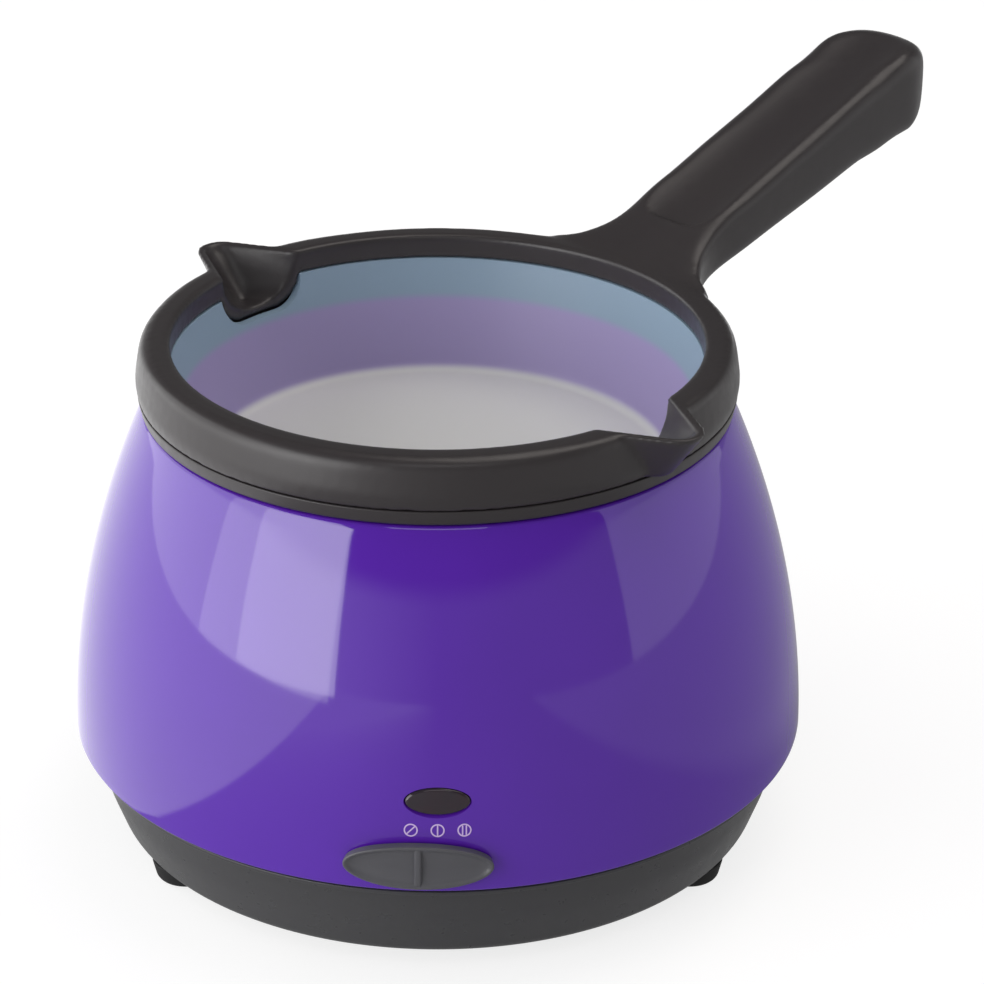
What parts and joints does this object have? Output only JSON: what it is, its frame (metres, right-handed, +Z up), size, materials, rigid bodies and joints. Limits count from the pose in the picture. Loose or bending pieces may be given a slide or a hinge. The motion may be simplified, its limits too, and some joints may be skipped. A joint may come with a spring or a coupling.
{
  "type": "candy melting pot",
  "caption": "Electric melting pot for candy: round heated base with a slide switch and a lift-out silicone-lined pot with pouring spouts and a raised handle.",
  "frame": {"origin": "on the table, on the pot's vertical axis, level with the undersides of the three feet", "axes": "+Z up along the pot's axis; -Y towards the front, where the switch and the lamp are; +X to the right as seen from the front"},
  "size_m": [0.2461, 0.2489, 0.1848],
  "materials": {
    "purple_housing": "high-gloss moulded plastic",
    "grey_pan": "satin moulded plastic",
    "charcoal_frame": "satin moulded nylon",
    "silicone": "translucent frosted silicone",
    "foot_rubber": "matte rubber",
    "heater_aluminium": "turned and brushed",
    "mica": "pressed mica sheet",
    "felt": "glass fibre felt",
    "steel": "zinc plated",
    "smoky_lens": "polished smoky red",
    "lamp_glass": "clear glass",
    "white_plastic": "heat resistant moulding",
    "phenolic": "pressed phenolic"
  },
  "bodies": {
    "base": {"housing_shell": "purple_housing", "heating_well": "purple_housing", "heater_plate": "heater_aluminium", "heating_element": "mica", "insulation_pad": "felt", "clamp_plate": "steel", "heater_screws": "steel", "thermostat": "phenolic", "thermostat_screws": "steel", "thermal_fuse": "steel", "fuse_clip": "steel", "fuse_clip_screw": "steel", "indicator_lens": "smoky_lens", "lamp_holder": "white_plastic", "neon_lamp": "lamp_glass", "slide_switch": "phenolic", "switch_screws": "steel", "terminal_block": "white_plastic", "terminal_screws": "steel", "cord_gland": "foot_rubber", "base_pan": "grey_pan", "rubber_feet": "foot_rubber", "base_screws": "steel"},
    "pot": {"pot_frame": "charcoal_frame", "handle_cover": "charcoal_frame", "handle_screws": "steel", "silicone_liner": "silicone", "retaining_ring": "charcoal_frame", "retaining_ring_screws": "steel"},
    "slider": {"switch_slider": "grey_pan"},
    "lever": {"switch_lever": "white_plastic"}
  },
  "joints": [
    {"name": "pot_lift", "type": "slide", "parent": "base", "child": "pot", "axis": [0, 0, 1], "range_m": [0, 0.08]},
    {"name": "slider_turn", "type": "hinge", "parent": "base", "child": "slider", "pos_m": [0, 0, 0.0406], "axis": [0, 0, 1], "range_deg": [0, 5.6]},
    {"name": "lever_slide", "type": "slide", "parent": "base", "child": "lever", "axis": [1, 0, 0], "range_m": [0, 0.0092]}
  ],
  "couplings": [
    {"joint": "lever_slide", "follows": "slider_turn", "m_per_rad": 0.093}
  ]
}
